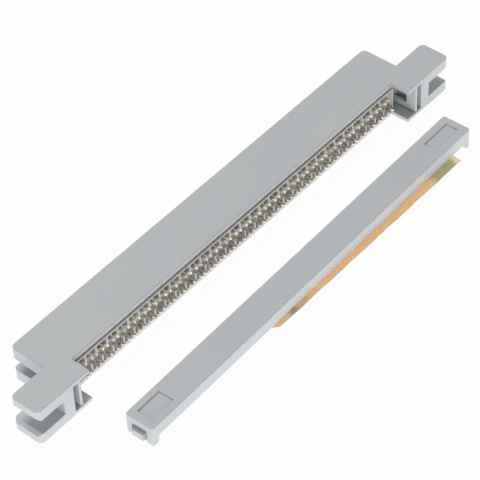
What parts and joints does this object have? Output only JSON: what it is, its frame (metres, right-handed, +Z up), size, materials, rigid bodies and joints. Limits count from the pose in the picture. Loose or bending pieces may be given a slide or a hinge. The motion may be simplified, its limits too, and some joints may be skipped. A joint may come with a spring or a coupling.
{
  "type": "rectangular connector",
  "caption": "Grey card-edge connector for flat ribbon cable, with forked insulation-displacing contacts and its press-on cable cover lying beside it",
  "frame": {"origin": "middle of the footprint of the housing and the cover together, on the surface they lie on", "axes": "+X along the row of contacts, +Y from the cable side to the card side, +Z up"},
  "size_m": [0.1062, 0.0272, 0.0075],
  "materials": {
    "housing_plastic": "satin",
    "block_plastic": "satin",
    "contact_metal": "polished",
    "liner_paper": "matte"
  },
  "bodies": {
    "root": {"housing": "housing_plastic", "contact_block": "block_plastic", "contact_pair_01": "contact_metal", "contact_pair_02": "contact_metal", "contact_pair_03": "contact_metal", "contact_pair_04": "contact_metal", "contact_pair_05": "contact_metal", "contact_pair_06": "contact_metal", "contact_pair_07": "contact_metal", "contact_pair_08": "contact_metal", "contact_pair_09": "contact_metal", "contact_pair_10": "contact_metal", "contact_pair_11": "contact_metal", "contact_pair_12": "contact_metal", "contact_pair_13": "contact_metal", "contact_pair_14": "contact_metal", "contact_pair_15": "contact_metal", "contact_pair_16": "contact_metal", "contact_pair_17": "contact_metal", "contact_pair_18": "contact_metal", "contact_pair_19": "contact_metal", "contact_pair_20": "contact_metal", "contact_pair_21": "contact_metal", "contact_pair_22": "contact_metal", "contact_pair_23": "contact_metal", "contact_pair_24": "contact_metal", "contact_pair_25": "contact_metal", "contact_pair_26": "contact_metal", "contact_pair_27": "contact_metal", "contact_pair_28": "contact_metal", "contact_pair_29": "contact_metal", "contact_pair_30": "contact_metal", "contact_pair_31": "contact_metal", "contact_pair_32": "contact_metal", "cover": "housing_plastic", "adhesive_liner": "liner_paper"}
  },
  "joints": []
}
